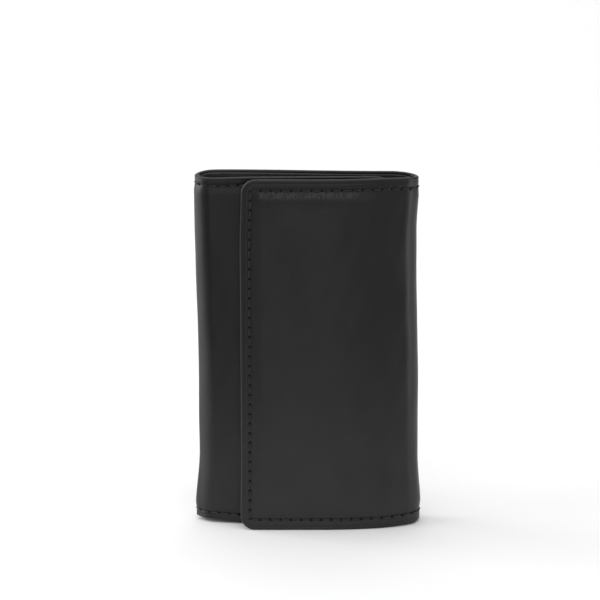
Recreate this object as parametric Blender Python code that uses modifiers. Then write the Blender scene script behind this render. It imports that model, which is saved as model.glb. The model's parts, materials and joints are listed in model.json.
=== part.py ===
"""Trifold leather key case, closed and standing on its short edge.

A back panel carries a key rack with six swivelling hooks. The left panel comes round the left fold
and lies over the keys. The flap comes round the right fold, lies over the left panel and is held by two
concealed press studs. Every leather sheet is a cover and a lining, and each is split at the fold lines,
so that the folds can turn.

Lengths are in metres. +X is right, the front faces -Y, +Z is up. The origin is under the middle of the
case, on the surface that it stands on.
"""

import math

import bmesh
import bpy
from mathutils import Matrix, Vector

MM = 0.001

# Driving dimensions of the closed case.
HEIGHT = 108.0 * MM
HALF_WIDTH = 33.25 * MM
HALF_DEPTH = 6.5 * MM
RIGHT_FOLD_RADIUS = 4.9 * MM
LEFT_FOLD_RADIUS = 4.6 * MM
FLAP_SLOPE = math.radians(15.0)  # of the flap where it leaves the right fold
PANEL_SLOPE = math.radians(1.62)  # of the left panel, down to the right
FLAP_EDGE_X = -19.5 * MM  # the flap's free edge
PANEL_EDGE_X = 24.5 * MM  # the left panel's free edge
CORNER_RADIUS = 4.3 * MM
INNER_TRIM = 0.3 * MM  # the left panel is this much shorter at the top and at the bottom

# Leather: each panel is a cover, a thin gap and a lining.
COVER = 0.95 * MM
LAYER_GAP = 0.1 * MM
FLAP_LINING = 0.75 * MM
PANEL_LINING = 0.65 * MM
BACK_LINING = 0.95 * MM
FOLD_GAP = 0.3 * MM  # between a fold and the panels that it joins
LINING_MARGIN = 0.4 * MM  # a lining stops this far short of its cover's edges

# Key rack and hooks.
PLATE_SIZE = Vector((51.0, 0.7, 7.6)) * MM
PLATE_Z = 97.5 * MM
METAL_GAP = 0.12 * MM
HOOKS = 6
HOOK_PITCH = 7.7 * MM
HOOK_LENGTH = 24.0 * MM  # from the pivot to the lower end
HOOK_WIDTH = 5.4 * MM
HOOK_STRIP = 1.35 * MM  # the width of the bent strip that makes the hook
HOOK_THICKNESS = 0.8 * MM
PIVOT_Z = 96.0 * MM
GATE_PIN = Vector((1.1, -6.4)) * MM  # from the hook's pivot, in X and Z
NOSE_LENGTH = 3.2 * MM  # of the hook's short side above the bend
GATE_WIDTH = 1.0 * MM
GATE_THICKNESS = 0.45 * MM
PIVOT_RADIUS = 0.8 * MM
PIVOT_HOLE = 1.0 * MM
RIVET_X = 23.3 * MM

# Press studs.
STUD_X = -13.0 * MM
STUD_Z = (25.0 * MM, 83.0 * MM)
CAP_RADIUS = 4.6 * MM
BARREL_RADIUS = 1.1 * MM
HEAD_RADIUS = 2.2 * MM

BACK_Y = HALF_DEPTH
BACK_INNER_Y = BACK_Y - COVER - LAYER_GAP - BACK_LINING


def clear_scene():
    for obj in list(bpy.data.objects):
        bpy.data.objects.remove(obj, do_unlink=True)


def make_collection(name):
    collection = bpy.data.collections.new(name)
    bpy.context.scene.collection.children.link(collection)
    return collection


clear_scene()
PARTS = make_collection("key_organiser")
CUTTERS = make_collection("cutters")


def make_material(name, colour, roughness, metallic=0.0):
    material = bpy.data.materials.new(name)
    material.use_nodes = True
    shader = material.node_tree.nodes["Principled BSDF"]
    shader.inputs["Base Color"].default_value = (*colour, 1.0)
    shader.inputs["Roughness"].default_value = roughness
    shader.inputs["Metallic"].default_value = metallic
    material.diffuse_color = (*colour, 1.0)
    return material


def link_mesh(name, mesh, material, location=(0.0, 0.0, 0.0)):
    obj = bpy.data.objects.new(name, mesh)
    obj.location = location
    mesh.materials.append(material)
    PARTS.objects.link(obj)
    return obj


def hang_on(obj, carrier):
    """Parents an object to what carries it, and leaves it where it is."""
    obj.parent = carrier
    obj.matrix_parent_inverse = Matrix.Translation(carrier.location).inverted()


def axis_empty(name, point):
    """An empty on an upright hinge axis."""
    empty = bpy.data.objects.new(name, None)
    empty.empty_display_size = 0.01
    empty.location = (point.x, point.y, 0.0)
    PARTS.objects.link(empty)
    return empty


# ---------------------------------------------------------------------------- section of the case


def heading_vector(heading):
    return Vector((math.cos(heading), math.sin(heading)))


def left_normal(heading):
    return Vector((-math.sin(heading), math.cos(heading)))


class Path:
    """One run of the case's outer face in section: a straight line, or an arc that turns left."""

    def __init__(self, start, heading, length, turn=0.0):
        self.start = Vector(start)
        self.heading = heading
        self.length = length
        self.turn = turn

    def trimmed(self, first, last):
        """The same run with a length cut from each end."""
        start, heading = self.at(first)
        share = (self.length - first - last) / self.length
        return Path(start, heading, self.length * share, self.turn * share)

    def at(self, distance, inset=0.0):
        """The point and heading at a distance along the outer face, at a depth inside it."""
        if self.turn == 0.0:
            point = self.start + heading_vector(self.heading) * distance
            return point + left_normal(self.heading) * inset, self.heading
        radius = self.length / self.turn
        centre = self.start + left_normal(self.heading) * radius
        heading = self.heading + distance / radius
        return centre - left_normal(heading) * (radius - inset), heading


def right_fold_path():
    centre = Vector((HALF_WIDTH - RIGHT_FOLD_RADIUS, HALF_DEPTH - RIGHT_FOLD_RADIUS))
    start = centre - left_normal(FLAP_SLOPE) * RIGHT_FOLD_RADIUS
    turn = math.pi - FLAP_SLOPE
    return Path(start, FLAP_SLOPE, turn * RIGHT_FOLD_RADIUS, turn)


def left_fold_path():
    turn = math.pi + PANEL_SLOPE
    start = (-(HALF_WIDTH - LEFT_FOLD_RADIUS), HALF_DEPTH)
    return Path(start, math.pi, turn * LEFT_FOLD_RADIUS, turn)


def back_path():
    length = 2.0 * HALF_WIDTH - RIGHT_FOLD_RADIUS - LEFT_FOLD_RADIUS
    return Path((HALF_WIDTH - RIGHT_FOLD_RADIUS, HALF_DEPTH), math.pi, length)


def left_panel_path():
    start, heading = left_fold_path().at(left_fold_path().length)
    return Path(start, heading, (PANEL_EDGE_X - start.x) / math.cos(heading))


def flap_paths():
    """The flat part from the free edge, then the arc that runs into the right fold."""
    end = right_fold_path().start
    radius = (end.y + HALF_DEPTH) / (1.0 - math.cos(FLAP_SLOPE))
    flat_end = end.x - radius * math.sin(FLAP_SLOPE)
    flat = Path((FLAP_EDGE_X, -HALF_DEPTH), 0.0, flat_end - FLAP_EDGE_X)
    arc = Path((flat_end, -HALF_DEPTH), 0.0, radius * FLAP_SLOPE, FLAP_SLOPE)
    return [flat, arc]


def fold_axes(path, radius):
    """The two hinge axes of a fold: turned about both by half the fold's angle, its two panels lie flat
    and as far apart as the leather between them is long."""
    centre = path.start + left_normal(path.heading) * radius
    half = path.turn / 2.0
    middle = (path.at(path.length / 2.0)[0] - centre).normalized()
    towards_start = (path.start - path.at(path.length)[0]).normalized()
    closed = Vector((math.cos(half), -math.sin(half)))
    opened = Vector((math.cos(half) + path.turn * math.sin(half),
                     math.sin(half) - path.turn * math.cos(half)))
    centre_of_turn = (opened.length_squared - closed.length_squared) / (2.0 * (opened.x - closed.x))
    reach = radius * centre_of_turn / (1.0 + math.tan(half / 2.0))
    return centre + (middle + towards_start) * reach, centre + (middle - towards_start) * reach


# ---------------------------------------------------------------------------- leather sheets


def path_points(paths, inset, longest=6.0 * MM, widest=math.radians(12.0)):
    """Points along joined runs, closer together where the section turns."""
    points = [paths[0].at(0.0, inset)[0]]
    for path in paths:
        steps = max(1, math.ceil(abs(path.turn) / widest))
        if path.turn != 0.0:
            steps = max(steps, math.ceil(path.length / longest))
        points += [path.at(path.length * (i + 1) / steps, inset)[0] for i in range(steps)]
    return points


def leather_sheet(name, paths, inset, thickness, low, high, material, corner_at=None, corner=0.0):
    """A sheet that follows a section and stands from low to high. corner_at says which end of the
    section has rounded corners: 0 for the first, -1 for the last."""
    mesh = bpy.data.meshes.new(name)
    bm = bmesh.new()
    points = path_points(paths, inset)
    row = [bm.verts.new((p.x, p.y, low)) for p in points]
    edges = [bm.edges.new(pair) for pair in zip(row, row[1:])]
    grown = bmesh.ops.extrude_edge_only(bm, edges=edges)["geom"]
    top = [v for v in grown if isinstance(v, bmesh.types.BMVert)]
    bmesh.ops.translate(bm, verts=top, vec=(0.0, 0.0, high - low))
    if corner_at is not None:
        end = points[corner_at]
        corners = [v for v in bm.verts if (v.co.xy - end).length < 1e-6]
        bmesh.ops.bevel(bm, geom=corners, offset=corner, offset_type="OFFSET", segments=5,
                        profile=0.5, affect="VERTICES")
    bmesh.ops.recalc_face_normals(bm, faces=bm.faces)
    first = min(bm.faces, key=lambda face: (face.calc_center_median().xy - points[0]).length)
    outward = -left_normal(paths[0].heading)
    if first.normal.xy.dot(outward) < 0.0:
        bmesh.ops.reverse_faces(bm, faces=bm.faces)
    bm.to_mesh(mesh)
    bm.free()
    obj = link_mesh(name, mesh, material)
    solidify = obj.modifiers.new("thickness", "SOLIDIFY")
    solidify.thickness = thickness
    solidify.offset = -1.0
    solidify.use_even_offset = True
    return obj


def cylinder_mesh(name, radius, depth, segments=20):
    """A disc or a pin along Y, centred on its own origin."""
    mesh = bpy.data.meshes.new(name)
    bm = bmesh.new()
    bmesh.ops.create_cone(bm, cap_ends=True, segments=segments, radius1=radius, radius2=radius,
                          depth=depth, matrix=Matrix.Rotation(math.pi / 2.0, 4, "X"))
    bm.to_mesh(mesh)
    bm.free()
    return mesh


def add_cutter(name, mesh, location):
    cutter = bpy.data.objects.new(name, mesh)
    cutter.location = location
    cutter.hide_render = True
    cutter.display_type = "WIRE"
    CUTTERS.objects.link(cutter)
    return cutter


def boolean(obj, cutter, operation="DIFFERENCE"):
    modifier = obj.modifiers.new(cutter.name, "BOOLEAN")
    modifier.operation = operation
    modifier.object = cutter
    modifier.solver = "EXACT"


def cut_hole(obj, x, y, z, radius, depth):
    """A round hole along Y, with its middle at a point."""
    name = f"cut_{obj.name}_{len(obj.modifiers)}"
    boolean(obj, add_cutter(name, cylinder_mesh(name, radius, depth), (x, y, z)))


def build_leather(cover, lining):
    lining_inset = COVER + LAYER_GAP
    half_gap = FOLD_GAP / 2.0
    low, high = 0.0, HEIGHT
    inner_low, inner_high = LINING_MARGIN, HEIGHT - LINING_MARGIN
    sheets = {}

    flat, arc = flap_paths()
    flap = [flat, arc.trimmed(0.0, half_gap)]
    flap_inner = [flat.trimmed(LINING_MARGIN, 0.0), flap[1]]
    sheets["flap_cover"] = leather_sheet("flap_cover", flap, 0.0, COVER, low, high, cover,
                                         0, CORNER_RADIUS)
    sheets["flap_lining"] = leather_sheet("flap_lining", flap_inner, lining_inset, FLAP_LINING,
                                          inner_low, inner_high, lining, 0, CORNER_RADIUS)

    fold = [right_fold_path().trimmed(half_gap, half_gap)]
    sheets["right_fold_cover"] = leather_sheet("right_fold_cover", fold, 0.0, COVER, low, high, cover)
    sheets["right_fold_lining"] = leather_sheet("right_fold_lining", fold, lining_inset, FLAP_LINING,
                                                inner_low, inner_high, lining)

    back = [back_path().trimmed(half_gap, half_gap)]
    sheets["back_cover"] = leather_sheet("back_cover", back, 0.0, COVER, low, high, cover)
    sheets["back_lining"] = leather_sheet("back_lining", back, lining_inset, BACK_LINING,
                                          inner_low, inner_high, lining)

    low, high = low + INNER_TRIM, high - INNER_TRIM
    inner_low, inner_high = inner_low + INNER_TRIM, inner_high - INNER_TRIM
    fold = [left_fold_path().trimmed(half_gap, half_gap)]
    sheets["left_fold_cover"] = leather_sheet("left_fold_cover", fold, 0.0, COVER, 0.0, HEIGHT, cover)
    sheets["left_fold_lining"] = leather_sheet("left_fold_lining", fold, lining_inset, PANEL_LINING,
                                               inner_low, inner_high, lining)

    panel = [left_panel_path().trimmed(half_gap, 0.0)]
    panel_inner = [left_panel_path().trimmed(half_gap, LINING_MARGIN)]
    sheets["left_panel_cover"] = leather_sheet("left_panel_cover", panel, 0.0, COVER, low, high, cover,
                                               -1, CORNER_RADIUS)
    sheets["left_panel_lining"] = leather_sheet("left_panel_lining", panel_inner, lining_inset,
                                                PANEL_LINING, inner_low, inner_high, lining,
                                                -1, CORNER_RADIUS)
    return sheets


# ---------------------------------------------------------------------------- turned metal pieces


def turned(name, profile, location, material, segments=18):
    """A turned piece on an axis along Y. The profile lists a radius and a distance towards the front,
    from the piece's front end to its rear end. A ring's profile starts and ends off the axis."""
    mesh = bpy.data.meshes.new(name)
    bm = bmesh.new()
    row = [bm.verts.new((radius, 0.0, along)) for radius, along in profile]
    for pair in zip(row, row[1:]):
        bm.edges.new(pair)
    if profile[0][0] > 0.0:
        bm.edges.new((row[-1], row[0]))
    bm.to_mesh(mesh)
    bm.free()
    obj = link_mesh(name, mesh, material, location)
    obj.rotation_euler = (math.pi / 2.0, 0.0, 0.0)
    screw = obj.modifiers.new("turn", "SCREW")
    screw.steps = segments
    screw.render_steps = segments
    screw.use_merge_vertices = True
    screw.merge_threshold = 0.00001
    screw.use_smooth_shade = True
    return obj


def domed_head(front, radius):
    """The front of a rivet: a low dome down to its shank."""
    return [
        (0.0, front + 0.42 * MM),
        (radius * 0.6, front + 0.34 * MM),
        (radius, front),
        (PIVOT_RADIUS, front),
    ]


def flat_tail(front, radius, thickness):
    """The rear of a rivet: a flat disc."""
    return [
        (PIVOT_RADIUS, front),
        (radius, front),
        (radius, front - thickness),
        (0.0, front - thickness),
    ]


# ---------------------------------------------------------------------------- key rack


def plate_front_y():
    return BACK_INNER_Y - METAL_GAP - PLATE_SIZE.y


def hook_x(index):
    return (index - (HOOKS - 1) / 2.0) * HOOK_PITCH


def hook_layer(index):
    """0 for a hook against the plate, 1 for one in front of its neighbours."""
    return index % 2


def hook_y(index):
    """The middle of a hook's thickness."""
    first = plate_front_y() - METAL_GAP - HOOK_THICKNESS / 2.0
    return first - hook_layer(index) * (HOOK_THICKNESS + METAL_GAP)


def build_plate(material):
    mesh = bpy.data.meshes.new("rack_plate")
    bm = bmesh.new()
    bmesh.ops.create_cube(bm, size=1.0, matrix=Matrix.Diagonal((*PLATE_SIZE, 1.0)))
    upright = [e for e in bm.edges
               if abs(e.verts[0].co.y - e.verts[1].co.y) > PLATE_SIZE.y / 2.0]
    bmesh.ops.bevel(bm, geom=upright, offset=2.0 * MM, segments=4, profile=0.5, affect="EDGES")
    bm.to_mesh(mesh)
    bm.free()
    y = BACK_INNER_Y - METAL_GAP - PLATE_SIZE.y / 2.0
    plate = link_mesh("rack_plate", mesh, material, (0.0, y, PLATE_Z))
    for x in [-RIVET_X, RIVET_X] + [hook_x(i) for i in range(HOOKS)]:
        z = PLATE_Z if abs(x) == RIVET_X else PIVOT_Z
        cut_hole(plate, x, y, z, PIVOT_HOLE, 4.0 * MM)
    return plate


def build_rack_rivets(sheets, material):
    """Two rivets through the plate and the back lining, with their tails sunk in the lining's rear."""
    pocket = 0.5 * MM
    lining_rear = BACK_Y - COVER - LAYER_GAP
    head = -(plate_front_y() - METAL_GAP)
    tail = -(lining_rear - pocket + METAL_GAP)
    profile = domed_head(head, 1.7 * MM) + flat_tail(tail, 1.7 * MM, 0.3 * MM)
    lining = sheets["back_lining"]
    for name, x in (("left", -RIVET_X), ("right", RIVET_X)):
        cut_hole(lining, x, lining_rear, PLATE_Z, 2.0 * MM, 2.0 * pocket)
        cut_hole(lining, x, lining_rear, PLATE_Z, PIVOT_HOLE, 4.0 * MM)
        turned(f"rack_rivet_{name}", profile, (x, 0.0, PLATE_Z), material)


def build_pivot_rivets(sheets, material):
    """One rivet for each hook, over a shallow relief in the lining for the rivets' tails. A front hook's
    rivet has a shoulder that keeps the hook off the plate."""
    relief = bpy.data.meshes.new("rivet_relief")
    bm = bmesh.new()
    size = Vector((HOOKS * HOOK_PITCH - 4.0 * MM, 1.0 * MM, 3.6 * MM))
    bmesh.ops.create_cube(bm, size=1.0, matrix=Matrix.Diagonal((*size, 1.0)))
    bm.to_mesh(relief)
    bm.free()
    boolean(sheets["back_lining"], add_cutter("rivet_relief", relief, (0.0, BACK_INNER_Y, PIVOT_Z)))
    tail = -(BACK_INNER_Y + 0.1 * MM)
    for index in range(HOOKS):
        x = hook_x(index)
        head = -(hook_y(index) - HOOK_THICKNESS / 2.0 - METAL_GAP)
        profile = domed_head(head, 1.6 * MM)
        if hook_layer(index) == 1:
            front = -(hook_y(index) + HOOK_THICKNESS / 2.0 + METAL_GAP)
            rear = -(plate_front_y() - METAL_GAP)
            profile += [(PIVOT_RADIUS, front), (1.4 * MM, front), (1.4 * MM, rear), (PIVOT_RADIUS, rear)]
        profile += flat_tail(tail, 1.5 * MM, 0.25 * MM)
        turned(f"hook_rivet_{index + 1}", profile, (x, 0.0, PIVOT_Z), material)


# ---------------------------------------------------------------------------- hooks and gates


def strip_outline(centreline, width, cap_steps=6):
    """The closed outline of a strip of constant width with round ends, along a line of points."""
    def side(i):
        before = centreline[max(i - 1, 0)]
        after = centreline[min(i + 1, len(centreline) - 1)]
        along = (after - before).normalized()
        return Vector((-along.y, along.x)) * width / 2.0

    left = [p + side(i) for i, p in enumerate(centreline)]
    right = [p - side(i) for i, p in enumerate(centreline)]

    def cap(centre, start):
        return [centre + Matrix.Rotation(-math.pi * k / cap_steps, 2) @ start
                for k in range(1, cap_steps)]

    last = len(centreline) - 1
    return left + cap(centreline[-1], side(last)) + right[::-1] + cap(centreline[0], -side(0))


def flat_mesh(name, outline, thickness):
    """A flat outline in X and Z, extruded along Y with a 2D curve and made a mesh."""
    curve = bpy.data.curves.new(name, "CURVE")
    curve.dimensions = "2D"
    curve.fill_mode = "BOTH"
    curve.extrude = thickness / 2.0
    spline = curve.splines.new("POLY")
    spline.points.add(len(outline) - 1)
    for point, place in zip(spline.points, outline):
        point.co = (place.x, place.y, 0.0, 1.0)
    spline.use_cyclic_u = True
    obj = bpy.data.objects.new(name, curve)
    PARTS.objects.link(obj)
    graph = bpy.context.evaluated_depsgraph_get()
    graph.update()
    mesh = bpy.data.meshes.new_from_object(obj.evaluated_get(graph))
    bpy.data.objects.remove(obj, do_unlink=True)
    bm = bmesh.new()
    bm.from_mesh(mesh)
    bmesh.ops.remove_doubles(bm, verts=bm.verts, dist=0.000001)
    bmesh.ops.transform(bm, matrix=Matrix.Rotation(math.pi / 2.0, 4, "X"), verts=bm.verts)
    bmesh.ops.recalc_face_normals(bm, faces=bm.faces)
    bm.to_mesh(mesh)
    bm.free()
    return mesh


def arc_points(centre, radius, first, last, steps):
    return [centre + Vector((math.cos(a), math.sin(a))) * radius
            for a in (first + (last - first) * i / steps for i in range(steps + 1))]


def hook_outline():
    """A stem down one side, a round bottom, and a short nose up the other side, in the hook's own frame
    with the pivot at the origin. The stem starts with an eye round the pivot."""
    half = HOOK_STRIP / 2.0
    bend = HOOK_WIDTH / 2.0 - half
    bottom = Vector((0.0, -HOOK_LENGTH + half + bend))
    shoulder = -7.0 * MM
    line = [Vector((0.0, -1.2 * MM)), Vector((0.0, -4.0 * MM))]
    line += [Vector((-bend * 0.5, -5.6 * MM)), Vector((-bend, shoulder))]
    line += arc_points(bottom, bend, math.pi, 2.0 * math.pi, 8)
    line += [Vector((bend, bottom.y + NOSE_LENGTH))]
    return strip_outline(line, HOOK_STRIP)


def gate_outline():
    """A straight leaf from its pin down to just above the hook's nose, in a frame at the pin."""
    half = HOOK_STRIP / 2.0
    bend = HOOK_WIDTH / 2.0 - half
    nose_top = -HOOK_LENGTH + half + bend + NOSE_LENGTH + half
    lower_end = Vector((bend, nose_top + GATE_WIDTH / 2.0 + 0.25 * MM))
    return strip_outline([Vector((0.0, 0.0)), lower_end - GATE_PIN], GATE_WIDTH)


def build_hooks(material, gate_material):
    """Six hooks, each with a spring gate whose round top turns in a seat under the hook's arm."""
    hook_mesh = flat_mesh("hook", hook_outline(), HOOK_THICKNESS)
    gate_mesh = flat_mesh("gate", gate_outline(), GATE_THICKNESS)
    for index in range(HOOKS):
        place = Vector((hook_x(index), hook_y(index), PIVOT_Z))
        pin = place + Vector((GATE_PIN.x, 0.0, GATE_PIN.y))
        hook = link_mesh(f"hook_{index + 1}", hook_mesh.copy(), material, place)
        eye = cylinder_mesh("eye", 2.2 * MM, HOOK_THICKNESS, 20)
        arm = cylinder_mesh("arm", 1.7 * MM, HOOK_THICKNESS, 20)
        boolean(hook, add_cutter(f"eye_{index + 1}", eye, place), "UNION")
        boolean(hook, add_cutter(f"arm_{index + 1}", arm, place + Vector((0.35, 0.0, -5.3)) * MM), "UNION")
        cut_hole(hook, *place, PIVOT_HOLE, 4.0 * MM)
        cut_hole(hook, *pin, GATE_WIDTH / 2.0 + 0.15 * MM, 4.0 * MM)
        cut_hole(hook, pin.x - 0.2 * MM, pin.y, pin.z - 1.7 * MM, 1.5 * MM, 4.0 * MM)
        gate = link_mesh(f"gate_{index + 1}", gate_mesh.copy(), gate_material, pin)
        hang_on(gate, hook)


# ---------------------------------------------------------------------------- press studs


def panel_outer_y(x):
    start = left_panel_path().start
    return start.y + (x - start.x) * math.tan(PANEL_SLOPE)


def build_flap_studs(sheets, material):
    """A cap under the flap's cover, with a barrel through the lining that holds the socket."""
    pocket = 0.45 * MM
    under_cover = -HALF_DEPTH + COVER + LAYER_GAP
    flap_inner = under_cover + FLAP_LINING
    socket_back = flap_inner + 0.1 * MM
    socket_wall = socket_back + 0.35 * MM
    socket_rim = socket_back + 1.5 * MM
    bore = BARREL_RADIUS + 0.15 * MM
    cavity = HEAD_RADIUS + 0.3 * MM
    cap = [
        (0.0, -(under_cover + 0.05 * MM)),
        (CAP_RADIUS, -(under_cover + 0.05 * MM)),
        (CAP_RADIUS, -(under_cover + 0.35 * MM)),
        (BARREL_RADIUS, -(under_cover + 0.35 * MM)),
        (BARREL_RADIUS, -(socket_wall - 0.02 * MM)),
        (0.0, -(socket_wall - 0.02 * MM)),
    ]
    socket = [
        (CAP_RADIUS, -socket_back),
        (CAP_RADIUS, -(socket_rim - 0.5 * MM)),
        (CAP_RADIUS - 0.6 * MM, -socket_rim),
        (cavity, -socket_rim),
        (cavity, -socket_wall),
        (bore, -socket_wall),
        (bore, -socket_back),
    ]
    lining = sheets["flap_lining"]
    for name, z in zip(("lower", "upper"), STUD_Z):
        cut_hole(lining, STUD_X, under_cover, z, CAP_RADIUS + 0.3 * MM, 2.0 * pocket)
        cut_hole(lining, STUD_X, under_cover, z, bore, 4.0 * MM)
        turned(f"snap_cap_{name}", cap, (STUD_X, 0.0, z), material)
        turned(f"snap_socket_{name}", socket, (STUD_X, 0.0, z), material)


def build_panel_studs(sheets, material):
    """A stud on the left panel's outer face, on a post that comes through from the inside."""
    outer = -panel_outer_y(STUD_X)
    inner = outer - COVER - LAYER_GAP - PANEL_LINING
    flange = outer + 0.2 * MM
    socket_wall = HALF_DEPTH - COVER - LAYER_GAP - FLAP_LINING - 0.45 * MM
    head = socket_wall - 0.15 * MM
    shank = BARREL_RADIUS - 0.1 * MM
    stud = [
        (0.0, head),
        (HEAD_RADIUS - 0.3 * MM, head),
        (HEAD_RADIUS, head - 0.35 * MM),
        (HEAD_RADIUS - 0.2 * MM, head - 0.9 * MM),
        (HEAD_RADIUS - 0.2 * MM, flange + 0.3 * MM),
        (3.4 * MM, flange + 0.3 * MM),
        (3.4 * MM, flange),
        (shank + 0.15 * MM, flange),
        (shank + 0.15 * MM, flange + 0.85 * MM),
        (0.0, flange + 0.85 * MM),
    ]
    post = [
        (0.0, flange + 0.7 * MM),
        (shank, flange + 0.7 * MM),
        (shank, inner - 0.2 * MM),
        (3.2 * MM, inner - 0.2 * MM),
        (3.2 * MM, inner - 0.5 * MM),
        (0.0, inner - 0.5 * MM),
    ]
    for name, z in zip(("lower", "upper"), STUD_Z):
        for sheet in ("left_panel_cover", "left_panel_lining"):
            cut_hole(sheets[sheet], STUD_X, -(outer + inner) / 2.0, z, shank + 0.2 * MM, 5.0 * MM)
        turned(f"snap_stud_{name}", stud, (STUD_X, 0.0, z), material)
        turned(f"snap_post_{name}", post, (STUD_X, 0.0, z), material)


# ---------------------------------------------------------------------------- assembly


def hang_moving_pieces():
    """Each fold and each panel hangs on an empty on its hinge's axis."""
    flap_side, back_side = fold_axes(right_fold_path(), RIGHT_FOLD_RADIUS)
    right_fold = axis_empty("right_fold_axis", back_side)
    flap = axis_empty("flap_axis", flap_side)
    hang_on(flap, right_fold)
    back_side, panel_side = fold_axes(left_fold_path(), LEFT_FOLD_RADIUS)
    left_fold = axis_empty("left_fold_axis", back_side)
    left_panel = axis_empty("left_panel_axis", panel_side)
    hang_on(left_panel, left_fold)
    carriers = {
        "right_fold": right_fold,
        "flap": flap,
        "snap_cap": flap,
        "snap_socket": flap,
        "left_fold": left_fold,
        "left_panel": left_panel,
        "snap_stud": left_panel,
        "snap_post": left_panel,
    }
    for obj in [o for o in PARTS.objects if o.type == "MESH"]:
        for start, carrier in carriers.items():
            if obj.name.startswith(start):
                hang_on(obj, carrier)


def main():
    cover = make_material("black_leather", (0.028, 0.028, 0.029), 0.48)
    lining = make_material("lining_leather", (0.022, 0.022, 0.022), 0.7)
    nickel = make_material("nickel", (0.62, 0.6, 0.56), 0.25, 1.0)
    spring = make_material("spring_steel", (0.5, 0.5, 0.5), 0.3, 1.0)
    sheets = build_leather(cover, lining)
    build_plate(nickel)
    build_rack_rivets(sheets, nickel)
    build_pivot_rivets(sheets, nickel)
    build_hooks(nickel, spring)
    build_flap_studs(sheets, nickel)
    build_panel_studs(sheets, nickel)
    hang_moving_pieces()


main()
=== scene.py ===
"""Looks of a trifold leather key case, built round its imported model.

The case's section is one line, from the flap's free edge round the right fold, the back and the left fold
to the left panel's free edge. A point of the leather is given by its distance along that line, its height
and its depth below the outer face, all in millimetres, and becomes metres when a mesh is made.
"""

import json
import math

import bmesh
import bpy
import numpy as np
from mathutils import Matrix, Vector

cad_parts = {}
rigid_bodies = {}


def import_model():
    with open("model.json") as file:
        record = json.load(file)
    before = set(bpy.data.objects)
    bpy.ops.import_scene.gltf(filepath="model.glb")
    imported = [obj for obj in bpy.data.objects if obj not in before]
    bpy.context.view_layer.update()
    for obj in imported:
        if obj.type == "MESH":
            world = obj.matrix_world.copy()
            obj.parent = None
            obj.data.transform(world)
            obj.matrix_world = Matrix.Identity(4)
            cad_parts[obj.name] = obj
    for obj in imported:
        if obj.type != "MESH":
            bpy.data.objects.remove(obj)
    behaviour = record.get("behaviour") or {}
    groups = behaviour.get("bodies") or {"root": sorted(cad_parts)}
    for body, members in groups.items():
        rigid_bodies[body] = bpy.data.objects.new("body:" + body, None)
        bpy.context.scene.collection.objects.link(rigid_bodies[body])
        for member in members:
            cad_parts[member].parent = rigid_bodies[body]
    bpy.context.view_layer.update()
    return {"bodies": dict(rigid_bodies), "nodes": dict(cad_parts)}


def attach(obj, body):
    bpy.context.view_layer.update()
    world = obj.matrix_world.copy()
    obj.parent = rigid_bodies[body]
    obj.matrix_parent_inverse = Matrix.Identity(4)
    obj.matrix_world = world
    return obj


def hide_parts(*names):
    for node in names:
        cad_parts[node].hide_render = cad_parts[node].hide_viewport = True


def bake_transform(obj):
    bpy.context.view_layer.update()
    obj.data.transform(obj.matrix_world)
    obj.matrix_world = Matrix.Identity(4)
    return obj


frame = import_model()

MM = 0.001

# The closed case, as it was built.
HEIGHT = 108.0
HALF_WIDTH = 33.25
HALF_DEPTH = 6.5
RIGHT_RADIUS = 4.9
LEFT_RADIUS = 4.6
FLAP_SLOPE = math.radians(15.0)
PANEL_SLOPE = math.radians(1.62)
FLAP_EDGE_X = -19.5
PANEL_EDGE_X = 24.5
CORNER_RADIUS = 4.3

# Leather.
COVER = 1.35  # the cover with its turned edges
LAYER_GAP = 0.03
LINING_MARGIN = 0.9  # from an edge to the lining
EDGE_ROUND = 0.55
SEAM_SIDE = 2.8  # from a free edge to its seam
SEAM_TOP = 3.3  # from the top or bottom edge to its seam
STITCH = 3.0
HOLE_RADIUS = 0.42
GROOVE_WIDTH = 0.45
THREAD_SIDES = 8

# How the worn case departs from straight walls.
LEAN = 0.4  # the flap and the left panel, snapped together, stand this far forward at the bottom
FLAP_FLARE = 1.4  # below the lower snap the flap's edge stands out this much more
FLAP_DRIFT = 0.45  # below its top corner the flap's edge lies this much further left
PANEL_BOW = 0.0042  # how strongly the left panel bows back towards its fold, per millimetre
PANEL_TRIM = 0.3  # the left panel is this much shorter at the top and at the bottom
LEFT_CURL = 1.1  # the bottom edge rises this much at the left fold
RIGHT_CURL = 0.6  # and this much at the right fold
TOP_CURL = 0.5  # the top edge drops this much at both folds
SEAM_SHIFT = 0.27  # share by which the left panel's seam is closer to the top and bottom edges
BACK_FORWARD = 0.7  # the back comes this far forward as it enters the right fold
BACK_TOP_FORWARD = 2.0  # and its top edge this much further on that side

# Press studs.
STUD_X = -13.0
STUD_HEIGHTS = {"lower": 25.0, "upper": 83.0}


def smoothstep(x, low, high):
    t = np.clip((np.asarray(x, float) - low) / (high - low), 0.0, 1.0)
    return t * t * (3.0 - 2.0 * t)


# ---------------------------------------------------------------------------- section of the case


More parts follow.
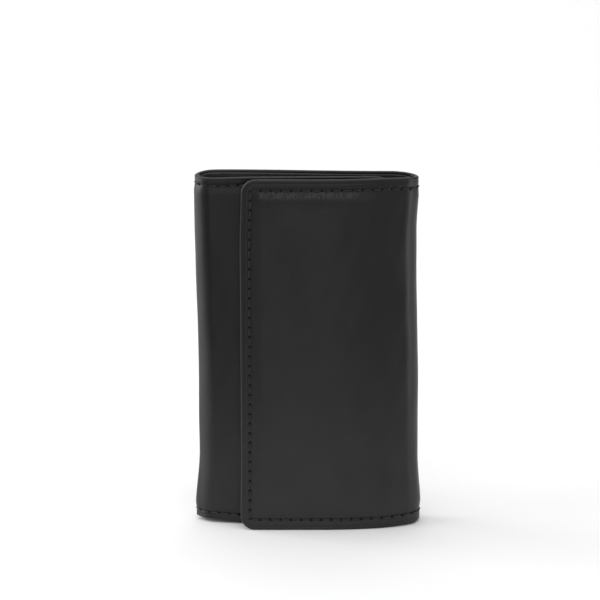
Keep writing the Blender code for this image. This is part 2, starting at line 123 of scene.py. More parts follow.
class Section:
    """The outer face's line in X and Y: straight runs and arcs that turn left, one after another."""

    def __init__(self):
        centre = np.array([HALF_WIDTH - RIGHT_RADIUS, HALF_DEPTH - RIGHT_RADIUS])
        fold_start = centre + RIGHT_RADIUS * np.array([math.sin(FLAP_SLOPE), -math.cos(FLAP_SLOPE)])
        rise = fold_start[1] + HALF_DEPTH
        bend = rise / (1.0 - math.cos(FLAP_SLOPE))
        flat = fold_start[0] - bend * math.sin(FLAP_SLOPE) - FLAP_EDGE_X
        left_turn = math.pi + PANEL_SLOPE
        panel_start = -(HALF_WIDTH - LEFT_RADIUS) + LEFT_RADIUS * math.sin(PANEL_SLOPE)
        runs = [
            (flat, 0.0),
            (bend * FLAP_SLOPE, FLAP_SLOPE),
            (RIGHT_RADIUS * (math.pi - FLAP_SLOPE), math.pi - FLAP_SLOPE),
            (2.0 * HALF_WIDTH - RIGHT_RADIUS - LEFT_RADIUS, 0.0),
            (LEFT_RADIUS * left_turn, left_turn),
            ((PANEL_EDGE_X - panel_start) / math.cos(PANEL_SLOPE), 0.0),
        ]
        self.length = np.array([run[0] for run in runs])
        self.turn = np.array([run[1] for run in runs])
        self.start = np.concatenate([[0.0], np.cumsum(self.length)[:-1]])
        self.heading = np.concatenate([[0.0], np.cumsum(self.turn)[:-1]])
        self.end = float(self.length.sum())
        points = [np.array([FLAP_EDGE_X, -HALF_DEPTH])]
        for i in range(len(runs) - 1):
            points.append(self._run_end(i, points[i]))
        self.point = np.array(points)

    def _run_end(self, i, start):
        h0 = self.heading[i]
        if self.turn[i] == 0.0:
            return start + self.length[i] * np.array([math.cos(h0), math.sin(h0)])
        radius = self.length[i] / self.turn[i]
        h1 = h0 + self.turn[i]
        centre = start + radius * np.array([-math.sin(h0), math.cos(h0)])
        return centre - radius * np.array([-math.sin(h1), math.cos(h1)])

    def at(self, s):
        """Points on the line and the inward normals there, for an array of distances."""
        s = np.asarray(s, float)
        i = np.clip(np.searchsorted(self.start, s, side="right") - 1, 0, len(self.start) - 1)
        local = s - self.start[i]
        curvature = self.turn[i] / self.length[i]
        h0 = self.heading[i]
        h1 = h0 + curvature * local
        bent = curvature > 0.0
        radius = 1.0 / np.where(bent, curvature, 1.0)
        x_arc = radius * (np.sin(h1) - np.sin(h0))
        y_arc = radius * (np.cos(h0) - np.cos(h1))
        x = self.point[i, 0] + np.where(bent, x_arc, local * np.cos(h0))
        y = self.point[i, 1] + np.where(bent, y_arc, local * np.sin(h0))
        return x, y, -np.sin(h1), np.cos(h1)


SECTION = Section()
FLAP_END = SECTION.start[2]
BACK_START = SECTION.start[3]
BACK_END = SECTION.start[4]
PANEL_START = SECTION.start[5]
RIGHT_MIDDLE = (FLAP_END + BACK_START) / 2.0
LEFT_MIDDLE = (BACK_END + PANEL_START) / 2.0
BACK_MIDDLE = (BACK_START + BACK_END) / 2.0
SECTION_END = SECTION.end
STITCHES_ALONG = round((SECTION_END - 2.0 * SEAM_SIDE) / STITCH)
STITCHES_UP = round((HEIGHT - 2.0 * SEAM_TOP) / STITCH)
SEAM_S = np.linspace(SEAM_SIDE, SECTION_END - SEAM_SIDE, STITCHES_ALONG + 1)
SEAM_W = np.linspace(SEAM_TOP, HEIGHT - SEAM_TOP, STITCHES_UP + 1)


def total_thickness(s):
    """Cover and lining together: 1.8 mm in the flap, 2.0 mm in the back, 1.7 mm in the left panel."""
    return (1.8 + 0.2 * smoothstep(s, RIGHT_MIDDLE, BACK_START)
            - 0.3 * smoothstep(s, BACK_END, LEFT_MIDDLE))


def left_width(z):
    """How much further out than its box the left fold stands at a height."""
    return 0.15 - 1.4 * smoothstep(z, 3.0, 22.0) + 1.15 * smoothstep(z, 42.0, 106.0)


def right_width(z):
    """The same for the right fold."""
    return (0.65 - 1.1 * smoothstep(z, 3.0, 22.0) - 0.9 * smoothstep(z, 36.0, 92.0)
            + 0.9 * smoothstep(z, 90.0, 106.0))


def front_lean(s, z):
    """How far forward the flap and the left panel stand: most at the bottom, nothing at the folds."""
    flap = 1.0 - smoothstep(s, FLAP_END - 9.0, RIGHT_MIDDLE + 1.0)
    panel = smoothstep(s, LEFT_MIDDLE, PANEL_START + 12.0)
    lean = LEAN * (flap + panel) * (1.0 - smoothstep(z, 0.0, 90.0))
    return lean + FLAP_FLARE * flap * (1.0 - smoothstep(z, 0.0, 23.0))


def panel_bow(x, y, z):
    """How far back the left panel bows as it nears its fold: less at the top."""
    near = np.clip(-x - 10.0, 0.0, 22.0)
    front = 1.0 - smoothstep(y, -2.0, 4.0)
    return PANEL_BOW * near ** 2 * front * (1.0 - 0.65 * smoothstep(z, 15.0, 100.0))


def fold_curl(s, z):
    """How far the top and bottom edges draw in where the leather turns."""
    left = smoothstep(s, BACK_END - 3.0, LEFT_MIDDLE) - smoothstep(s, LEFT_MIDDLE, PANEL_START + 14.0)
    right = smoothstep(s, FLAP_END - 9.0, RIGHT_MIDDLE) - smoothstep(s, RIGHT_MIDDLE, BACK_START + 3.0)
    bottom = (LEFT_CURL * left + RIGHT_CURL * right) * (1.0 - smoothstep(z, 0.0, 12.0))
    return bottom - TOP_CURL * (left + right) * smoothstep(z, HEIGHT - 10.0, HEIGHT)


def place(s, w, depth):
    """Points in metres from a distance along the section, a nominal height, and a depth."""
    s, w, depth = np.broadcast_arrays(np.asarray(s, float), np.asarray(w, float), depth)
    au = np.minimum(s, SECTION_END - s)
    aw = np.minimum(w, HEIGHT - w)
    a = CORNER_RADIUS - au
    b = CORNER_RADIUS - aw
    corner = (a > 0.0) & (b > 0.0)
    shrink = np.where(corner, np.maximum(a, b) / np.maximum(np.hypot(a, b), 1e-9), 1.0)
    au = np.where(corner, CORNER_RADIUS - a * shrink, au)
    aw = np.where(corner, CORNER_RADIUS - b * shrink, aw)
    s = np.where(s < SECTION_END / 2.0, au, SECTION_END - au)
    # The seams come closer to the top and bottom edges from the flap to the left panel.
    closer = SEAM_SHIFT * smoothstep(s, FLAP_END, PANEL_START)
    aw = aw * (1.0 - closer * (1.0 - smoothstep(aw, 5.0, 14.0)))
    z = np.where(w < HEIGHT / 2.0, aw, HEIGHT - aw)
    trim = PANEL_TRIM * smoothstep(s, LEFT_MIDDLE, PANEL_START + 4.0)
    z = trim + z * (HEIGHT - 2.0 * trim) / HEIGHT
    x, y, nx, ny = SECTION.at(s)
    x = x + nx * depth
    y = y + ny * depth
    outwards = right_width(z) * smoothstep(x, 15.0, HALF_WIDTH)
    x = x + outwards - left_width(z) * smoothstep(-x, 15.0, HALF_WIDTH)
    x = x - FLAP_DRIFT * (1.0 - smoothstep(s, 0.0, 24.0)) * (1.0 - smoothstep(z, 86.0, 104.0))
    # The back comes a little forward as it enters the right fold, and so does its top edge on that side.
    rear = np.clip((y + 2.0) / (HALF_DEPTH + 2.0), 0.0, 1.0)
    y = y - BACK_FORWARD * smoothstep(x, 24.0, 31.0) * rear
    y = y - BACK_TOP_FORWARD * smoothstep(x, -25.0, 24.0) * smoothstep(z, HEIGHT - 6.5, HEIGHT) * rear
    y = y - front_lean(s, z) + np.where(s > BACK_END, panel_bow(x, y, z), 0.0)
    z = z + fold_curl(s, z)
    return np.stack([x, y, z], axis=-1) * MM


# ---------------------------------------------------------------------------- leather sheets


def rounded_edge(distance, half):
    """How far a face has dropped towards the middle of a sheet at a distance from its edge."""
    t = 1.0 - np.clip(distance / EDGE_ROUND, 0.0, 1.0)
    return half * (1.0 - np.sqrt(np.clip(1.0 - t * t, 0.0, 1.0)))


def edge_distance(s, w):
    """The distance to the nearest edge of the case's leather."""
    return np.minimum(np.minimum(w, HEIGHT - w), np.minimum(s, SECTION_END - s))


def seam_marks(s, w):
    """How strongly the seam's groove, and its needle holes, mark each point."""
    aw = np.minimum(w, HEIGHT - w)
    au = np.minimum(s, SECTION_END - s)
    pitch_s = SEAM_S[1] - SEAM_S[0]
    pitch_w = SEAM_W[1] - SEAM_W[0]
    off_s = (s - SEAM_SIDE) / pitch_s
    off_s = (off_s - np.round(off_s)) * pitch_s
    off_w = (w - SEAM_TOP) / pitch_w
    off_w = (off_w - np.round(off_w)) * pitch_w
    off_top = aw - SEAM_TOP
    off_side = au - SEAM_SIDE
    along_top = smoothstep(au, SEAM_SIDE - 0.5, SEAM_SIDE)
    along_side = smoothstep(aw, SEAM_TOP - 0.5, SEAM_TOP)
    groove = np.maximum(np.exp(-(off_top / GROOVE_WIDTH) ** 2) * along_top,
                        np.exp(-(off_side / GROOVE_WIDTH) ** 2) * along_side)
    holes = np.maximum(np.exp(-(off_s ** 2 + off_top ** 2) / HOLE_RADIUS ** 2) * along_top,
                       np.exp(-(off_w ** 2 + off_side ** 2) / HOLE_RADIUS ** 2) * along_side)
    return groove, holes


def unevenness(s, w):
    """Slow waves of the leather, in millimetres, the same at each run."""
    return (0.05 * np.sin(s * 0.21 + 0.6) * np.sin(w * 0.083 + 1.1)
            + 0.035 * np.sin(s * 0.47 + w * 0.16 + 2.0)
            + 0.02 * np.sin(s * 0.9 - w * 0.31 + 0.4))


def outer_face(s, w):
    """The cover's outside: a rounded edge, a creased line, the seam in its groove, and a slight crown."""
    distance = edge_distance(s, w)
    groove, holes = seam_marks(s, w)
    depth = rounded_edge(distance, COVER / 2.0)
    depth = depth + 0.12 * np.exp(-((distance - 1.15) / 0.19) ** 2)
    depth = depth + 0.10 * groove + 0.30 * holes
    depth = depth - 0.26 * smoothstep(distance, SEAM_TOP + 0.1, 7.0) - 0.10 * smoothstep(distance, 5.0, 20.0)
    depth = depth + 0.05 * smoothstep(distance, 1.6, 2.2) * (1.0 - smoothstep(distance, 3.2, 5.0))
    return depth + smoothstep(distance, 3.0, 9.0) * unevenness(s, w)


def inner_face(s, w):
    """The cover's inside, with the same rounded edge."""
    return COVER - rounded_edge(edge_distance(s, w), COVER / 2.0)


def lining_top(s, w):
    """The lining's glued side, against the cover."""
    distance = edge_distance(s, w) - LINING_MARGIN
    half = (total_thickness(s) - COVER - LAYER_GAP) / 2.0
    return COVER + LAYER_GAP + np.minimum(rounded_edge(distance * 2.0, half), half)


def lining_face(s, w):
    """The lining's side that shows inside the case."""
    distance = edge_distance(s, w) - LINING_MARGIN
    thickness = total_thickness(s)
    half = (thickness - COVER - LAYER_GAP) / 2.0
    groove, holes = seam_marks(s, w)
    return thickness - np.minimum(rounded_edge(distance * 2.0, half), half) - 0.08 * groove - 0.2 * holes


def spread_lines(low, high, marks, from_low, from_high, widest):
    """Grid lines between two ends: close together near a real edge and round each stitch."""
    edge = [0.0, 0.025, 0.09, 0.19, 0.32, 0.45, 0.58, 0.8, 0.98, 1.15, 1.32, 1.55, 1.9]
    near_hole = [-0.95, -0.5, -0.22, 0.0, 0.22, 0.5, 0.95]
    kept = {low, high}
    if from_low:
        kept.update(low + e for e in edge)
    if from_high:
        kept.update(high - e for e in edge)
    first = low + (1.9 if from_low else 0.0)
    last = high - (1.9 if from_high else 0.0)
    kept.update(m + o for m in marks for o in near_hole if first + 0.15 < m + o < last - 0.15)
    if not from_low:
        kept.add(low + 0.05)
    if not from_high:
        kept.add(high - 0.05)
    ordered = sorted(kept)
    result = [ordered[0]]
    for value in ordered[1:]:
        gap = value - result[-1]
        if gap < 0.02:
            continue
        pieces = max(1, math.ceil(gap / widest))
        result += [result[-1] + gap * (k + 1) / pieces for k in range(pieces)]
    return np.array(result)


def grid_faces(rows, columns):
    i, j = np.meshgrid(np.arange(rows - 1), np.arange(columns - 1), indexing="ij")
    a = i * columns + j
    return np.stack([a, a + columns, a + columns + 1, a + 1], axis=-1).reshape(-1, 4)


def add_vectors(mesh, name, values):
    attribute = mesh.attributes.new(name, "FLOAT_VECTOR", "POINT")
    attribute.data.foreach_set("vector", np.ascontiguousarray(values, np.float32).ravel())


def linked(name, mesh, material):
    """The mesh as an object in the scene, in one material."""
    mesh.materials.clear()
    mesh.materials.append(material)
    obj = bpy.data.objects.new(name, mesh)
    bpy.context.scene.collection.objects.link(obj)
    return obj


def mesh_from_faces(name, vertices, faces):
    """A mesh without the doubled corners that faces have where front and back share a point."""
    polygons = []
    for face in faces:
        corners = list(dict.fromkeys(face))
        if len(corners) > 2:
            polygons.append(corners)
    mesh = bpy.data.meshes.new(name)
    mesh.from_pydata(vertices.tolist(), [], polygons)
    return mesh


def face_outwards_and_smooth(mesh, sharp_runs):
    """Turn all faces outwards and shade them smooth, but keep the edges of each run of points sharp."""
    bm = bmesh.new()
    bm.from_mesh(mesh)
    bmesh.ops.recalc_face_normals(bm, faces=bm.faces)
    bm.verts.ensure_lookup_table()
    for run in sharp_runs:
        for a, b in zip(run, run[1:]):
            edge = bm.edges.get((bm.verts[a], bm.verts[b]))
            if edge is not None:
                edge.smooth = False
    for face in bm.faces:
        face.smooth = True
    bm.to_mesh(mesh)
    bm.free()


def closed_sheet(name, s_lines, w_lines, front, back, free_low, free_high, material):
    """A closed mesh between two faces that meet at the real edges. At a cut end it has a flat wall."""
    s, w = np.meshgrid(s_lines, w_lines, indexing="ij")
    rows, columns = s.shape
    shared = np.zeros(s.shape, bool)
    shared[:, 0] = shared[:, -1] = True
    shared[0, :] |= free_low
    shared[-1, :] |= free_high
    front_depth = front(s, w)
    back_depth = back(s, w)
    middle = (front_depth + back_depth) / 2.0
    front_points = place(s, w, np.where(shared, middle, front_depth)).reshape(-1, 3)
    back_points = place(s, w, np.where(shared, middle, back_depth)).reshape(-1, 3)
    index_front = np.arange(rows * columns)
    own = ~shared.ravel()
    index_back = index_front.copy()
    index_back[own] = rows * columns + np.arange(own.sum())
    quads = grid_faces(rows, columns)
    faces = [quads, index_back[quads][:, ::-1]]
    cuts = []
    if not free_low:
        cuts.append(np.arange(columns))
    if not free_high:
        cuts.append((rows - 1) * columns + np.arange(columns))
    for line in cuts:
        a, b = line[:-1], line[1:]
        faces.append(np.stack([a, b, index_back[b], index_back[a]], axis=-1))
    vertices = np.vstack([front_points, back_points[own]])
    mesh = mesh_from_faces(name, vertices, np.vstack(faces).tolist())
    # The materials read where each point lies on the flat leather; the two sides get different grain.
    flat = np.stack([s, w, np.zeros_like(s)], axis=-1).reshape(-1, 3)
    flat_back = flat + np.array([7.0, 3.0, 1.0])
    add_vectors(mesh, "flat", np.vstack([flat, flat_back[own]]))
    groove, holes = seam_marks(s, w)
    marks = np.stack([holes, groove, edge_distance(s, w)], axis=-1).reshape(-1, 3)
    add_vectors(mesh, "marks", np.vstack([marks, marks[own]]))
    face_outwards_and_smooth(mesh, [run.tolist() for line in cuts for run in (line, index_back[line])])
    return linked(name, mesh, material)


# ---------------------------------------------------------------------------- stitches


def tubes(name, centre, normal, radius, material):
    """One mesh of separate closed tubes. centre and normal are (tube, point, 3) in metres; radius is
    per point, in millimetres."""
    count, points, _ = centre.shape
    along = np.gradient(centre, axis=1)
    along /= np.linalg.norm(along, axis=2, keepdims=True)
    across = np.cross(along, normal)
    across /= np.linalg.norm(across, axis=2, keepdims=True)
    up = np.cross(across, along)
    angle = np.arange(THREAD_SIDES)[:, None] * 2.0 * math.pi / THREAD_SIDES
    ring = across[:, :, None, :] * np.cos(angle) + up[:, :, None, :] * np.sin(angle)
    vertices = centre[:, :, None, :] + ring * (radius * MM)[None, :, None, None]
    around = range(THREAD_SIDES)
    faces = []
    for t in range(count):
        base = t * points * THREAD_SIDES
        for p in range(points - 1):
            a = base + p * THREAD_SIDES
            b = a + THREAD_SIDES
            faces += [(a + k, a + (k + 1) % THREAD_SIDES, b + (k + 1) % THREAD_SIDES, b + k) for k in around]
        last = base + (points - 1) * THREAD_SIDES
        faces.append(tuple(base + k for k in around)[::-1])
        faces.append(tuple(last + k for k in around))
    mesh = mesh_from_faces(name, vertices.reshape(-1, 3), faces)
    face_outwards_and_smooth(mesh, [])
    return linked(name, mesh, material)


def seam_stitches(low, high, free_low, free_high):
    """Start and end of each stitch of a sheet, as pairs of (distance along the section, height)."""
    pairs = []
    for w in (SEAM_TOP, HEIGHT - SEAM_TOP):
        for a, b in zip(SEAM_S, SEAM_S[1:]):
            if low <= (a + b) / 2.0 < high:
                pairs.append(((a, w), (b, w)))
    for free, s in ((free_low, SEAM_SIDE), (free_high, SECTION_END - SEAM_SIDE)):
        if free:
            pairs += [((s, a), (s, b)) for a, b in zip(SEAM_W, SEAM_W[1:])]
    return np.array(pairs)


def thread(name, pairs, inside, material):
    """Stitches that rise out of one needle hole and go down the next, each at a slight slant."""
    share = np.array([0.07, 0.16, 0.30, 0.5, 0.70, 0.84, 0.93])
    lift = np.array([-0.36, -0.12, 0.04, 0.07, 0.04, -0.12, -0.36])
    radius = np.array([0.12, 0.21, 0.24, 0.25, 0.24, 0.21, 0.12])
    start, end = pairs[:, 0, None, :], pairs[:, 1, None, :]
    line = start + (end - start) * share[None, :, None]
    slant = 0.14 * (share - 0.5)
    vertical = np.abs(end[..., 0] - start[..., 0]) < 1e-6
    s = line[..., 0] + np.where(vertical, slant[None, :], 0.0)
    w = line[..., 1] + np.where(vertical, 0.0, slant[None, :])
    if inside:
        depth = total_thickness(s) - 0.08 + lift[None, :]
        step = 0.05
    else:
        depth = 0.10 - lift[None, :]
        step = -0.05
    centre = place(s, w, depth)
    normal = place(s, w, depth + step) - centre
    return tubes(name, centre, normal, radius, material)


# ---------------------------------------------------------------------------- materials


class Nodes:
    """Short names for making one material's node tree."""

    def __init__(self, name):
        self.material = bpy.data.materials.new(name)
        self.material.use_nodes = True
        self.tree = self.material.node_tree
        self.shader = self.tree.nodes["Principled BSDF"]

    def add(self, kind, **settings):
        node = self.tree.nodes.new(kind)
        for key, value in settings.items():
            setattr(node, key, value)
        return node

    def link(self, source, target):
        self.tree.links.new(source, target)

    def attribute(self, name):
        return self.add("ShaderNodeAttribute", attribute_name=name).outputs["Vector"]

    def split(self, vector):
        node = self.add("ShaderNodeSeparateXYZ")
        self.link(vector, node.inputs["Vector"])
        return node.outputs

    def object_place(self):
        return self.add("ShaderNodeTexCoord").outputs["Object"]

    def scaled(self, vector, scale):
        node = self.add("ShaderNodeMapping")
        node.inputs["Scale"].default_value = scale
        self.link(vector, node.inputs["Vector"])
        return node.outputs["Vector"]

    def noise(self, vector, scale, detail=2.0, roughness=0.5):
        node = self.add("ShaderNodeTexNoise")
        node.inputs["Scale"].default_value = scale
        node.inputs["Detail"].default_value = detail
        node.inputs["Roughness"].default_value = roughness
        self.link(vector, node.inputs["Vector"])
        return node.outputs["Fac"]

    def voronoi(self, vector, scale, feature="F1"):
        node = self.add("ShaderNodeTexVoronoi", feature=feature)
        node.inputs["Scale"].default_value = scale
        self.link(vector, node.inputs["Vector"])
        return node.outputs["Distance"]

    def ramp(self, value, from_low, from_high, to_low, to_high, smooth=True):
        node = self.add("ShaderNodeMapRange")
        node.interpolation_type = "SMOOTHSTEP" if smooth else "LINEAR"
        for socket, number in zip(("From Min", "From Max", "To Min", "To Max"),
                                  (from_low, from_high, to_low, to_high)):
            node.inputs[socket].default_value = number
        self.link(value, node.inputs["Value"])
        return node.outputs["Result"]

    def maths(self, operation, a, b):
        node = self.add("ShaderNodeMath", operation=operation)
        for socket, value in zip(node.inputs, (a, b)):
            if isinstance(value, (int, float)):
                socket.default_value = value
            else:
                self.link(value, socket)
        return node.outputs["Value"]

    def mix(self, factor, low, high):
        node = self.add("ShaderNodeMix", data_type="RGBA")
        self.link(factor, node.inputs["Factor"])
        for socket, colour in ((node.inputs[6], low), (node.inputs[7], high)):
            if isinstance(colour, tuple):
                socket.default_value = (*colour, 1.0)
            else:
                self.link(colour, socket)
        return node.outputs[2]

    def bump(self, height, distance, strength=1.0, normal=None):
        node = self.add("ShaderNodeBump")
        node.inputs["Strength"].default_value = strength
        node.inputs["Distance"].default_value = distance
        self.link(height, node.inputs["Height"])
        if normal is not None:
            self.link(normal, node.inputs["Normal"])
        return node.outputs["Normal"]

    def finish(self, colour, roughness=None, normal=None):
        for socket, value in (("Base Color", colour), ("Roughness", roughness), ("Normal", normal)):
            if value is not None:
                self.link(value, self.shader.inputs[socket])
        return self.material


def pulled_area(n, flat):
    """1 just below the flap's top seam, where the stitches pull the leather into wrinkles that also get a
    painted highlight, and 0 elsewhere.
    """
    s, w, _ = n.split(flat)
    seam = HEIGHT - SEAM_TOP
    upright = n.maths("MULTIPLY", n.ramp(w, seam - 5.5, seam - 1.5, 0.0, 1.0),
                      n.ramp(w, seam - 0.7, seam - 0.1, 1.0, 0.0))
    across = n.maths("MULTIPLY", n.ramp(s, 3.0, 6.0, 0.0, 1.0), n.ramp(s, 30.0, 44.0, 1.0, 0.0))
    return n.maths("MULTIPLY", upright, across)


def seam_wrinkles(n, flat):
    """Short upright wrinkles, about one millimetre apart."""
    return n.noise(n.scaled(flat, (1.0, 0.30, 1.0)), 1.5, 3.0, 0.7)


def cover_leather():
    """Smooth black calf: a fine grain and faint tone changes, with painted shade in the needle holes, along
    the creased line, in the seam's groove and over the left fold and panel, and a painted highlight on the
    wrinkles below the flap's top seam.
    """
    n = Nodes("cover_leather")
    flat = n.attribute("flat")
    holes, groove, edge = n.split(n.attribute("marks"))
    grain = n.voronoi(n.scaled(flat, (1.0, 0.85, 1.0)), 1.9, "SMOOTH_F1")
    fine = n.noise(flat, 4.2, 3.0, 0.6)
    pores = n.ramp(n.voronoi(flat, 1.1), 0.0, 0.16, 0.0, 1.0)
    tone = n.noise(flat, 0.09, 3.0, 0.55)
    height = n.maths("ADD", n.maths("MULTIPLY", grain, 0.7), n.maths("MULTIPLY", fine, 0.55))
    height = n.maths("ADD", height, n.maths("MULTIPLY", pores, 0.35))
    creases = n.noise(n.scaled(flat, (2.6, 0.5, 1.0)), 0.9, 4.0, 0.6)
    normal = n.bump(height, 0.00004, 0.55)
    normal = n.bump(creases, 0.00009, 0.35, normal)
    wrinkles_and_highlight = n.maths("MULTIPLY", seam_wrinkles(n, flat), pulled_area(n, flat))
    normal = n.bump(wrinkles_and_highlight, 0.00030, 1.0, normal)
    colour = n.mix(n.ramp(tone, 0.3, 0.7, 0.0, 1.0), (0.0045, 0.0045, 0.0047), (0.0070, 0.0070, 0.0072))
    colour = n.mix(n.ramp(fine, 0.35, 0.7, 0.0, 0.35), colour, (0.012, 0.012, 0.012))
    # Painted shade: the left fold and the left panel are painted darker than the flap.
    left_painted_shade = n.ramp(n.split(flat)["X"], BACK_END, PANEL_START + 4.0, 0.0, 0.8)
    colour = n.mix(left_painted_shade, colour, (0.0014, 0.0014, 0.0014))
    # Painted highlight: the wrinkles below the flap's top seam are painted lighter, as if they catch the
    # light.
    colour = n.mix(n.ramp(wrinkles_and_highlight, 0.32, 0.64, 0.0, 0.8), colour, (0.042, 0.042, 0.042))
    # Painted shade: the seam's groove is painted a little darker.
    colour = n.mix(n.ramp(groove, 0.0, 1.0, 0.0, 0.35), colour, (0.005, 0.005, 0.005))
    # Painted shade: the needle holes are painted nearly black.
    colour = n.mix(n.ramp(holes, 0.08, 0.4, 0.0, 1.0), colour, (0.0008, 0.0008, 0.0008))
    # Painted shade: a dark line is painted along the crease, about 1.1 mm in from the edge, fading out by
    # 1.4 mm.
    crease_painted_shade = n.mix(n.ramp(edge, 1.12, 1.4, 0.0, 1.0), (0.0015, 0.0015, 0.0015), colour)
    colour = n.mix(n.ramp(edge, 0.95, 1.12, 0.0, 1.0, False), colour, crease_painted_shade)
    rough = n.ramp(fine, 0.3, 0.7, 0.34, 0.45)
    rough = n.maths("ADD", rough, n.ramp(edge, 0.1, 0.6, 0.12, 0.0))
    rough = n.maths("ADD", rough, n.ramp(holes, 0.1, 0.5, 0.0, 0.5))
    n.shader.inputs["Specular IOR Level"].default_value = 0.45
    return n.finish(colour, rough, normal)


def lining_leather():
    """Thin black lining leather: a printed pebble grain, matt."""
    n = Nodes("lining_leather")
    flat = n.attribute("flat")
    holes = n.split(n.attribute("marks"))["X"]
    pebbles = n.voronoi(flat, 1.15, "SMOOTH_F1")
    fine = n.noise(flat, 3.0, 3.0, 0.6)
    height = n.maths("ADD", n.maths("MULTIPLY", pebbles, -1.0), n.maths("MULTIPLY", fine, 0.4))
    normal = n.bump(height, 0.00008, 0.6)
    tone = n.noise(flat, 0.12, 2.0)
    colour = n.mix(n.ramp(tone, 0.3, 0.7, 0.0, 1.0), (0.034, 0.034, 0.0345), (0.046, 0.046, 0.0465))
    colour = n.mix(n.ramp(pebbles, 0.45, 0.8, 0.0, 0.6), colour, (0.012, 0.012, 0.012))
    # Painted shade: the needle holes in the lining are painted nearly black.
    colour = n.mix(n.ramp(holes, 0.12, 0.6, 0.0, 1.0), colour, (0.001, 0.001, 0.001))
    rough = n.ramp(fine, 0.3, 0.7, 0.55, 0.7)
    return n.finish(colour, rough, normal)


def thread_material():
    """Black bonded thread: twisted strands with a slight gloss."""
    n = Nodes("black_thread")
    tilted = n.add("ShaderNodeMapping")
    tilted.inputs["Rotation"].default_value = (0.0, math.radians(35.0), 0.0)
    n.link(n.object_place(), tilted.inputs["Vector"])
    strands = n.add("ShaderNodeTexWave", wave_type="BANDS", bands_direction="DIAGONAL")
    strands.inputs["Scale"].default_value = 900.0
    strands.inputs["Distortion"].default_value = 1.5
    n.link(tilted.outputs["Vector"], strands.inputs["Vector"])
    twist = strands.outputs["Fac"]
    normal = n.bump(twist, 0.00005, 0.6)
    colour = n.mix(twist, (0.003, 0.003, 0.003), (0.010, 0.010, 0.0105))
    rough = n.ramp(twist, 0.0, 1.0, 0.6, 0.45)
    return n.finish(colour, rough, normal)


def metal(name, low, high, rough_low, rough_high):
    """Plated metal: slight clouding, and fine upright polishing lines."""
    n = Nodes(name)
    where = n.object_place()
    cloud = n.noise(where, 60.0, 2.0)
    lines = n.noise(n.scaled(where, (3.0, 3.0, 0.25)), 900.0, 2.0)
    colour = n.mix(n.ramp(cloud, 0.35, 0.65, 0.0, 1.0), low, high)
    rough = n.ramp(lines, 0.3, 0.7, rough_low, rough_high)
    normal = n.bump(lines, 0.000002, 0.08)
    n.shader.inputs["Metallic"].default_value = 1.0
    return n.finish(colour, rough, normal)


def floor_material():
    """Matt, nearly white, faintly mottled."""
    n = Nodes("pale_floor")
    mottle = n.noise(n.object_place(), 3.0, 2.0)
    colour = n.mix(mottle, (0.90, 0.90, 0.90), (0.915, 0.915, 0.915))
    n.shader.inputs["Roughness"].default_value = 0.9
    n.shader.inputs["Specular IOR Level"].default_value = 0.1
    return n.finish(colour)


COVER_LEATHER = cover_leather()
LINING_LEATHER = lining_leather()
THREAD = thread_material()


# ---------------------------------------------------------------------------- leather of the case


def leather_piece(name, low, high, replaced):
    """One stretch of the case: its cover, its lining and its stitches inside and out. It runs from the
    middle of a fold to a free edge or to the middle of the back."""
    free_low = low == 0.0
    free_high = high == SECTION_END
    marks = SEAM_S[(SEAM_S > low - 1.0) & (SEAM_S < high + 1.0)]
    s_lines = spread_lines(low, high, marks, free_low, free_high, 0.8)
    w_lines = spread_lines(0.0, HEIGHT, SEAM_W, True, True, 1.15)
    cover = closed_sheet(f"{name}_outer_leather", s_lines, w_lines, outer_face, inner_face,
                         free_low, free_high, COVER_LEATHER)
    lining_low = low + (LINING_MARGIN if free_low else 0.0)
    lining_high = high - (LINING_MARGIN if free_high else 0.0)
    s_lines = spread_lines(lining_low, lining_high, marks, free_low, free_high, 0.9)
    w_lines = spread_lines(LINING_MARGIN, HEIGHT - LINING_MARGIN, SEAM_W, True, True, 1.2)
    lining = closed_sheet(f"{name}_inner_leather", s_lines, w_lines, lining_top, lining_face,
                          free_low, free_high, LINING_LEATHER)
    pairs = seam_stitches(low, high, free_low, free_high)
    outside = thread(f"{name}_outer_stitches", pairs, False, THREAD)
    inside = thread(f"{name}_inner_stitches", pairs, True, THREAD)
    for obj, slot in ((cover, "cover_leather"), (lining, "lining_leather"),
                      (outside, "cover_leather"), (inside, "lining_leather")):
        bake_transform(obj)
    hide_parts(*[f"{node}_cover" for node in replaced])
    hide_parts(*[f"{node}_lining" for node in replaced])


def build_leather():
    leather_piece("flap", 0.0, RIGHT_MIDDLE,
                  ["flap", "right_fold"])
    leather_piece("back_right", RIGHT_MIDDLE, BACK_MIDDLE,
                  ["back"])
    leather_piece("back_left", BACK_MIDDLE, LEFT_MIDDLE,
                  ["back"])
    leather_piece("panel", LEFT_MIDDLE, SECTION_END,
                  ["left_fold", "left_panel"])


# ---------------------------------------------------------------------------- stage, lights and camera


def build_stage():
    """A pale floor that curves up behind the case."""
    profile = [(-0.085, 0.0), (1.2, 0.0)]
    profile += [(1.2 + 0.6 * math.sin(a), 0.6 * (1.0 - math.cos(a)))
                for a in (math.radians(10.0 * k) for k in range(1, 10))]
    profile.append((1.8, 3.0))
    mesh = bpy.data.meshes.new("floor")
    bm = bmesh.new()
    left = [bm.verts.new((-2.5, y, z)) for y, z in profile]
    right = [bm.verts.new((2.5, y, z)) for y, z in profile]
    for i in range(len(profile) - 1):
        face = bm.faces.new((left[i], right[i], right[i + 1], left[i + 1]))
        face.smooth = True
    bm.to_mesh(mesh)
    bm.free()
    linked("floor", mesh, floor_material())


def add_area_light(name, place_at, look_at, width, height, power):
    """A soft box of this size and power, turned to a point."""
    data = bpy.data.lights.new(name, "AREA")
    data.shape = "RECTANGLE"
    data.size = width
    data.size_y = height
    data.energy = power
    light = bpy.data.objects.new(name, data)
    light.location = place_at
    light.rotation_euler = (Vector(look_at) - Vector(place_at)).to_track_quat("-Z", "Y").to_euler()
    bpy.context.scene.collection.objects.link(light)


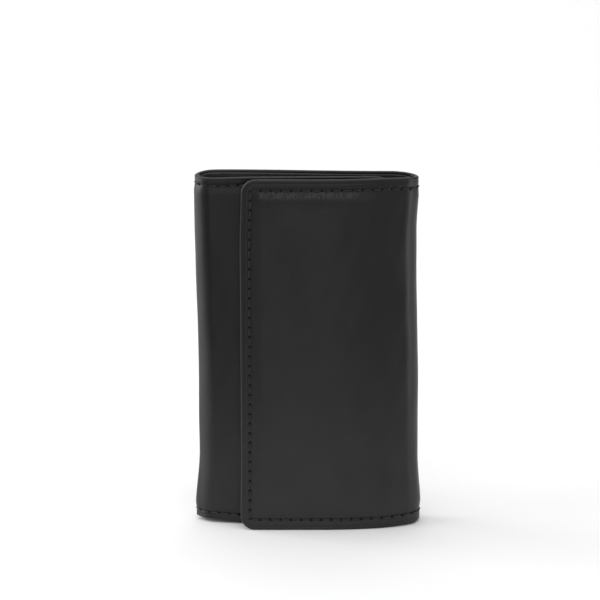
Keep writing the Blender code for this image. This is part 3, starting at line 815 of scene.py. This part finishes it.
def build_lights():
    """Large soft boxes overhead and over the background, one at each side, and dim cards in front."""
    world = bpy.data.worlds.new("studio")
    world.use_nodes = True
    background = world.node_tree.nodes["Background"]
    background.inputs["Color"].default_value = (1.0, 1.0, 1.0, 1.0)
    background.inputs["Strength"].default_value = 0.2
    bpy.context.scene.world = world
    middle = (0.0, 0.0, 0.05)
    add_area_light("overhead", (0.0, -0.40, 1.5), (0.0, -0.40, 0.0), 2.4, 2.4, 25.0)
    add_area_light("back_top", (0.0, 1.8, 0.9), (0.0, 1.8, 0.0), 2.6, 1.3, 17.0)
    add_area_light("left_box", (-0.95, 0.05, 0.40), middle, 0.8, 0.8, 9.0)
    add_area_light("right_box", (0.90, -0.42, -0.15), middle, 0.48, 1.0, 3.9)
    add_area_light("front_card", (0.03, -1.7, -0.40), middle, 0.45, 0.7, 0.85)
    add_area_light("high_card", (0.0, -1.5, 0.22), middle, 0.8, 0.30, 1.6)


def build_camera():
    """A long lens, a little above the case."""
    elevation = math.radians(17.3)
    distance = 1.2
    view_width = 178.57 * MM
    target = Vector((0.0, 0.0, 0.054))
    back = Vector((0.0, -math.cos(elevation), math.sin(elevation)))
    data = bpy.data.cameras.new("camera")
    data.sensor_width = 36.0
    data.lens = data.sensor_width * distance / view_width
    data.clip_start = 0.01
    data.clip_end = 20.0
    camera = bpy.data.objects.new("camera", data)
    camera.location = target + back * distance
    camera.rotation_euler = back.to_track_quat("Z", "Y").to_euler()
    data.shift_x = -0.012
    data.shift_y = 0.0833
    bpy.context.scene.collection.objects.link(camera)
    bpy.context.scene.camera = camera


def bevelled_piece(node, width, material, shift):
    """A metal piece with eased edges, moved forward from its plain node by shift."""
    source = frame["nodes"][node]
    mesh = source.data.copy()
    mesh.name = node
    bm = bmesh.new()
    bm.from_mesh(mesh)
    bm.transform(Matrix.Translation((0.0, -shift * MM, 0.0)) @ source.matrix_world)
    bmesh.ops.remove_doubles(bm, verts=bm.verts, dist=1e-6)
    sharp = [edge for edge in bm.edges if len(edge.link_faces) == 2 and edge.calc_face_angle() > 0.6]
    bmesh.ops.bevel(bm, geom=sharp, offset=width * MM, segments=2, profile=0.6, affect="EDGES",
                    clamp_overlap=True)
    bm.to_mesh(mesh)
    bm.free()
    mesh.shade_smooth()
    mesh.set_sharp_from_angle(angle=math.radians(38.0))
    return linked(f"{node}_fine", mesh, material)


def snap_shift(node):
    """How far the leather that holds a press stud's piece has moved forward."""
    on_flap = node.startswith(("snap_cap", "snap_socket"))
    s = STUD_X - FLAP_EDGE_X if on_flap else PANEL_START + STUD_X + HALF_WIDTH - LEFT_RADIUS
    return float(front_lean(s, STUD_HEIGHTS[node.split("_")[-1]]))


def build_metal():
    nickel = metal("nickel_plate", (0.60, 0.585, 0.55), (0.70, 0.69, 0.66), 0.16, 0.24)
    steel = metal("spring_steel", (0.50, 0.50, 0.50), (0.60, 0.60, 0.60), 0.25, 0.36)
    snap = metal("snap_metal", (0.55, 0.54, 0.51), (0.64, 0.63, 0.60), 0.2, 0.28)
    looks = {
        "snap": ("snap_metal", snap, 0.07),
        "gate": ("spring_steel", steel, 0.06),
        "hook": ("nickel_plate", nickel, 0.09),
        "rack": ("nickel_plate", nickel, 0.09),
    }
    body_name = {empty.name: name for name, empty in frame["bodies"].items()}
    for node, source in frame["nodes"].items():
        family = node.split("_")[0]
        if family not in looks:
            continue
        slot, material, bevel = looks[family]
        piece = bevelled_piece(node, bevel, material, snap_shift(node) if family == "snap" else 0.0)
        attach(piece, body_name[source.parent.name])
        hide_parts(node)


def main():
    bpy.context.scene.view_settings.view_transform = "Standard"
    build_leather()
    build_metal()
    build_stage()
    build_lights()
    build_camera()


main()
